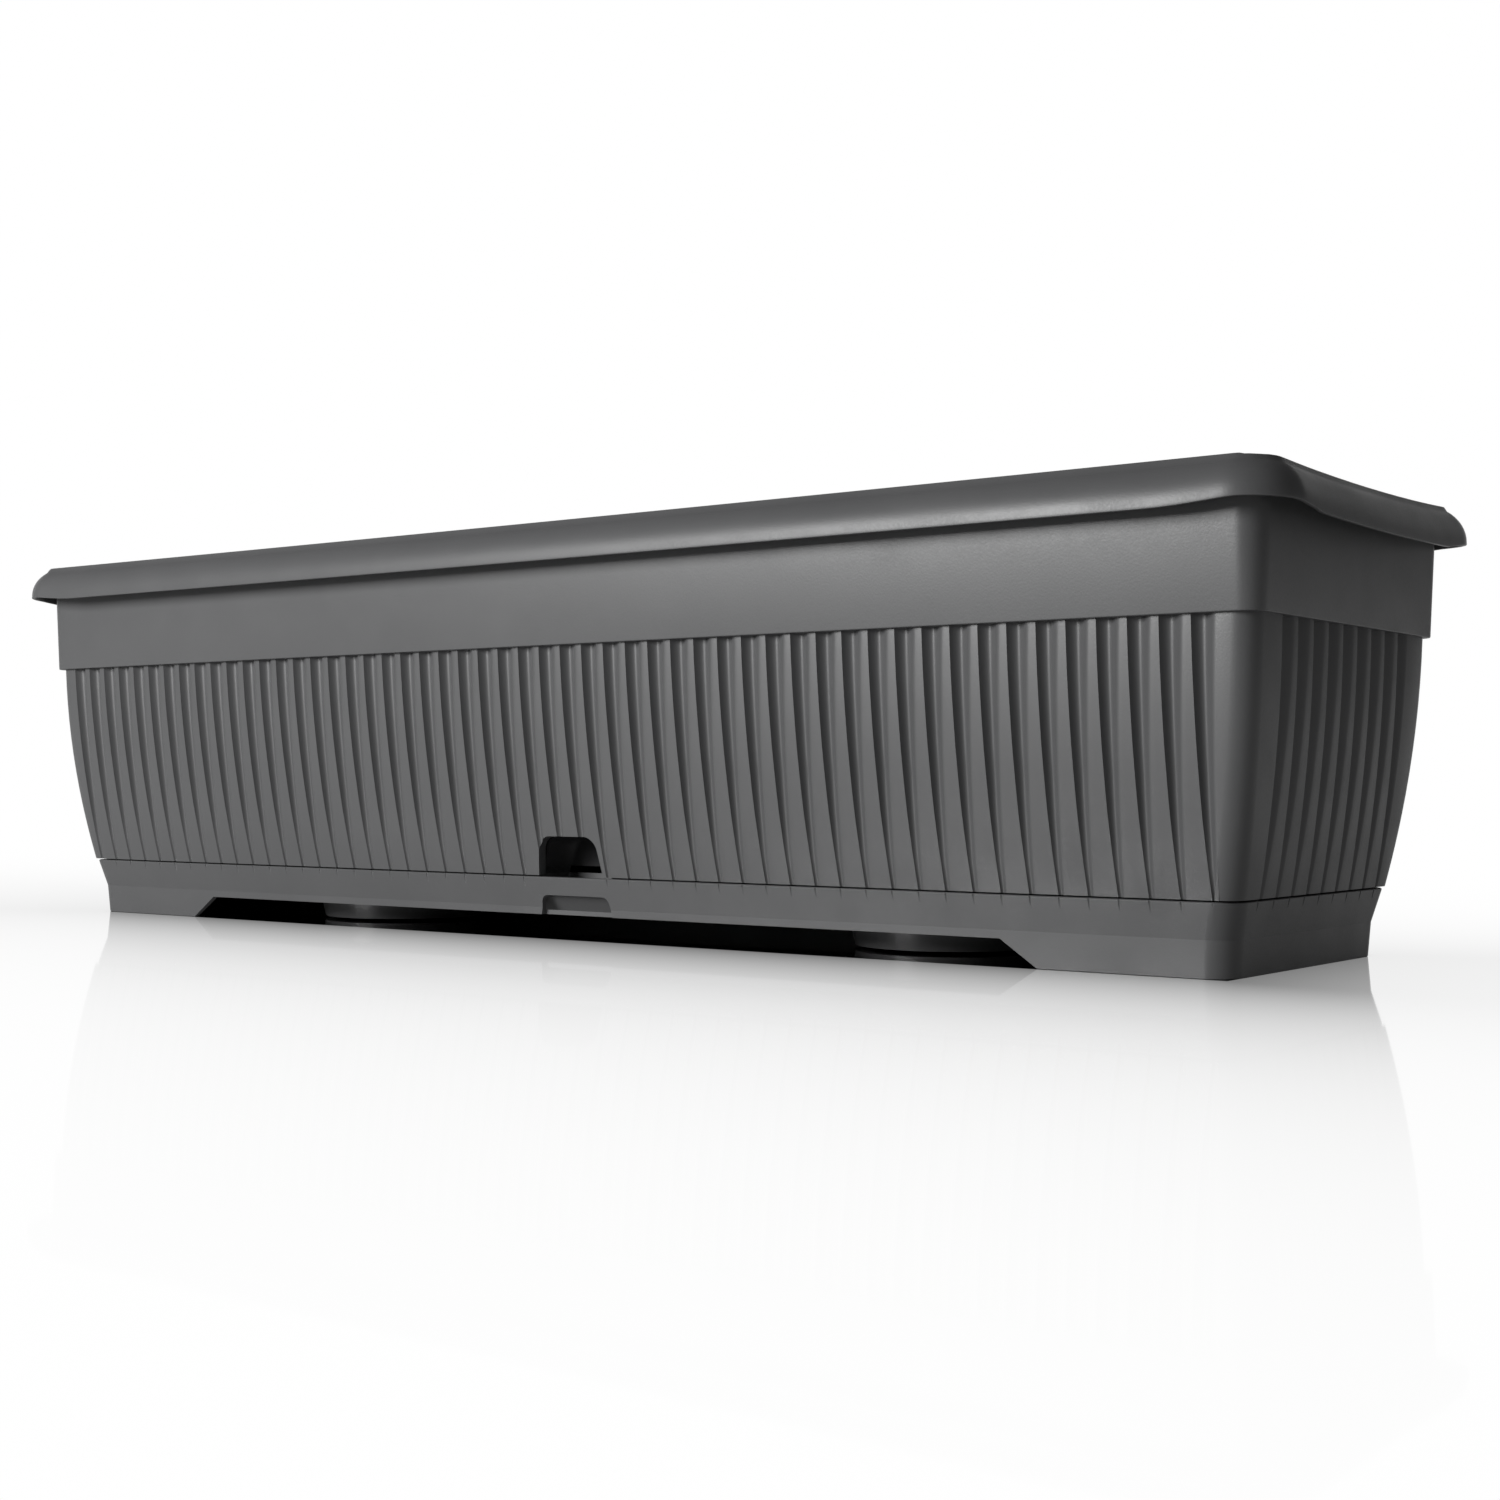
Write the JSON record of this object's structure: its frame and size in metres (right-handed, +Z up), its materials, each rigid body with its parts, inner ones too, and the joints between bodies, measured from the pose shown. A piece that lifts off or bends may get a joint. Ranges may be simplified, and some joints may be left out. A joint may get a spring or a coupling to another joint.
{
  "type": "window box planter",
  "caption": "Long window box with a rolled rim, a plain band and fluted barrel walls, standing in a water tray with a front inlet, a soil grid and wick cups.",
  "frame": {"origin": "middle of the footprint, on the surface that the tray stands on", "axes": "+X along the length, to the right seen from the front; -Y out of the front, where the water inlet is; +Z up"},
  "size_m": [0.6, 0.174, 0.154],
  "materials": {
    "box_plastic": "satin anthracite polypropylene, finely grained",
    "tray_plastic": "satin anthracite polypropylene, finely grained",
    "grid_plastic": "matt black polypropylene",
    "cup_plastic": "matt black polypropylene"
  },
  "bodies": {
    "tray": {"water_tray": "tray_plastic"},
    "box": {"planter_box": "box_plastic"},
    "grid": {"soil_grid": "grid_plastic"},
    "cup_left": {"wick_cup_left": "cup_plastic"},
    "cup_right": {"wick_cup_right": "cup_plastic"}
  },
  "joints": [
    {"name": "box_lift", "type": "slide", "parent": "tray", "child": "box", "axis": [0, 0, 1], "range_m": [0, 0.05]},
    {"name": "grid_lift", "type": "slide", "parent": "box", "child": "grid", "axis": [0, 0, 1], "range_m": [0, 0.16]},
    {"name": "cup_left_lift", "type": "slide", "parent": "grid", "child": "cup_left", "axis": [0, 0, 1], "range_m": [0, 0.16]},
    {"name": "cup_right_lift", "type": "slide", "parent": "grid", "child": "cup_right", "axis": [0, 0, 1], "range_m": [0, 0.16]}
  ]
}
